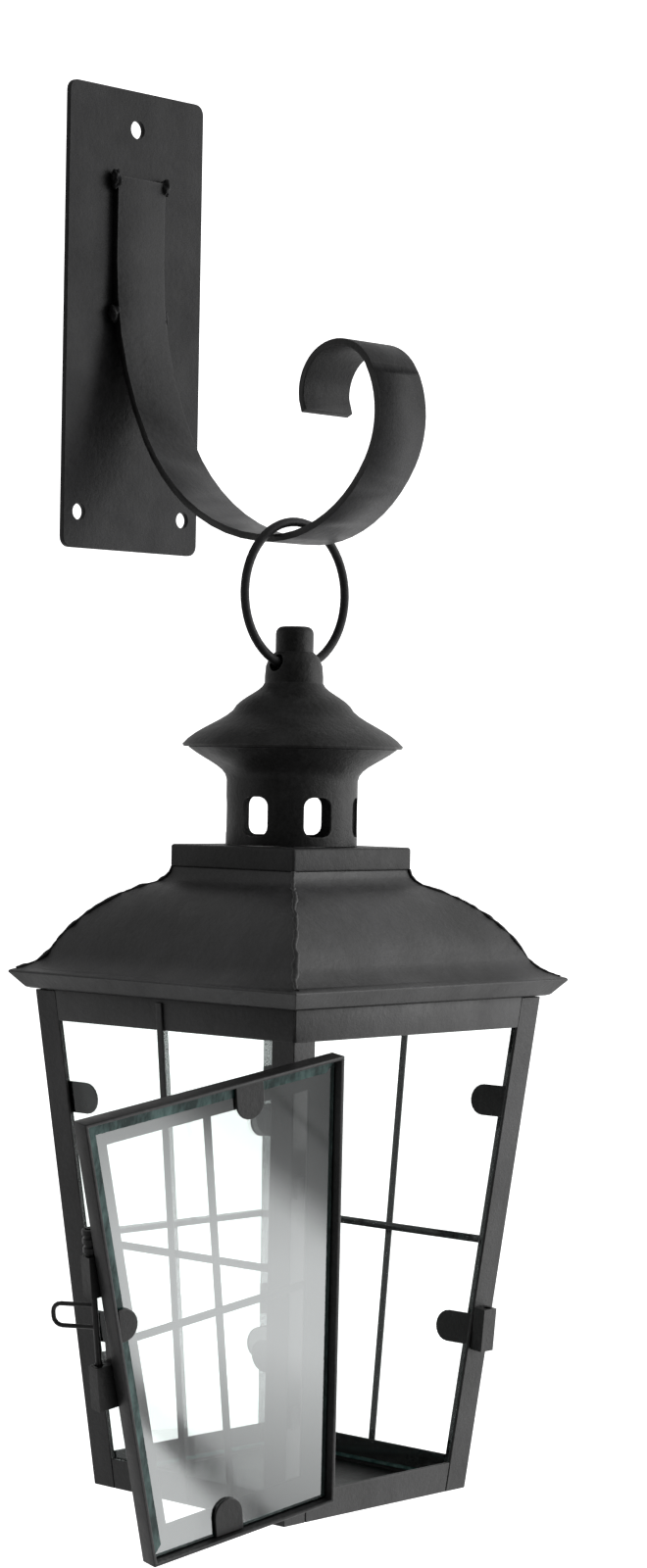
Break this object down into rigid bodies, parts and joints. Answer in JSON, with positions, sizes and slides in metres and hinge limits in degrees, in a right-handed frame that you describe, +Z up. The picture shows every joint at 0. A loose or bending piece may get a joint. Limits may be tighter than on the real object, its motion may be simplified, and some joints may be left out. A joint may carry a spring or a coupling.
{
  "type": "outdoor wall lantern",
  "caption": "Tapered four-sided candle lantern with an ogee roof, vented chimney and hinged glazed door, hanging by a ring from a curled strap hook on a wall plate.",
  "frame": {"origin": "middle of the wall plate's back face, on the wall", "axes": "+Z up, +Y into the wall, the lantern's front and doorway face -Y, +X to the right seen from the front"},
  "size_m": [0.2629, 0.1935, 0.5945],
  "materials": {
    "painted_iron": "satin powder coat, lightly worn",
    "dark_fittings": "satin",
    "clear_glass": "clear, with green edges"
  },
  "bodies": {
    "bracket": {"wall_plate": "painted_iron", "hook_strap": "painted_iron", "strap_weld_lower_left": "painted_iron", "strap_weld_lower_right": "painted_iron", "strap_weld_upper_left": "painted_iron", "strap_weld_upper_right": "painted_iron"},
    "ring": {"hanging_ring": "painted_iron"},
    "lantern": {"bottom_rail_back": "painted_iron", "bottom_rail_front": "painted_iron", "bottom_rail_left": "painted_iron", "bottom_rail_right": "painted_iron", "finial_cap": "painted_iron", "floor_plate": "painted_iron", "glass_back": "clear_glass", "glass_clip_back_1": "painted_iron", "glass_clip_back_2": "painted_iron", "glass_clip_back_3": "painted_iron", "glass_clip_back_4": "painted_iron", "glass_clip_left_1": "painted_iron", "glass_clip_left_2": "painted_iron", "glass_clip_left_3": "painted_iron", "glass_clip_left_4": "painted_iron", "glass_clip_right_1": "painted_iron", "glass_clip_right_2": "painted_iron", "glass_clip_right_3": "painted_iron", "glass_clip_right_4": "painted_iron", "glass_left": "clear_glass", "glass_right": "clear_glass", "hinge_post_lower": "dark_fittings", "hinge_post_upper": "dark_fittings", "latch_keeper": "dark_fittings", "level_bar_back": "painted_iron", "level_bar_left": "painted_iron", "level_bar_right": "painted_iron", "post_back_left": "painted_iron", "post_back_right": "painted_iron", "post_front_left": "painted_iron", "post_front_right": "painted_iron", "roof": "painted_iron", "roof_collar": "painted_iron", "top_rail_back": "painted_iron", "top_rail_front": "painted_iron", "top_rail_left": "painted_iron", "top_rail_right": "painted_iron", "upright_bar_back": "painted_iron", "upright_bar_left": "painted_iron", "upright_bar_right": "painted_iron", "vented_chimney": "painted_iron"},
    "door": {"door_frame": "painted_iron", "door_glass": "clear_glass", "door_clip_top": "painted_iron", "door_clip_bottom": "painted_iron", "door_clip_stile": "painted_iron", "upright_bar_door": "painted_iron", "level_bar_door": "painted_iron", "hinge_door_upper": "dark_fittings", "hinge_door_lower": "dark_fittings", "latch_guide_upper": "dark_fittings", "latch_guide_lower": "dark_fittings"},
    "bolt": {"latch_bolt": "dark_fittings"}
  },
  "joints": [
    {"name": "ring_swing", "type": "hinge", "parent": "bracket", "child": "ring", "pos_m": [0, -0.102, -0.094], "axis": [1, 0, 0], "range_deg": [-30, 2]},
    {"name": "lantern_swing", "type": "hinge", "parent": "ring", "child": "lantern", "pos_m": [0, -0.102, -0.1508], "axis": [1, 0, 0], "range_deg": [-20, 4]},
    {"name": "door_hinge", "type": "hinge", "parent": "lantern", "child": "door", "pos_m": [-0.0524, -0.17188, -0.38953], "axis": [-0.0955, -0.0955, 0.9908], "range_deg": [-11, 189]},
    {"name": "bolt_drop", "type": "slide", "parent": "door", "child": "bolt", "axis": [-0.189, -0.0793, 0.9788], "range_m": [-0.0128, 0]}
  ]
}
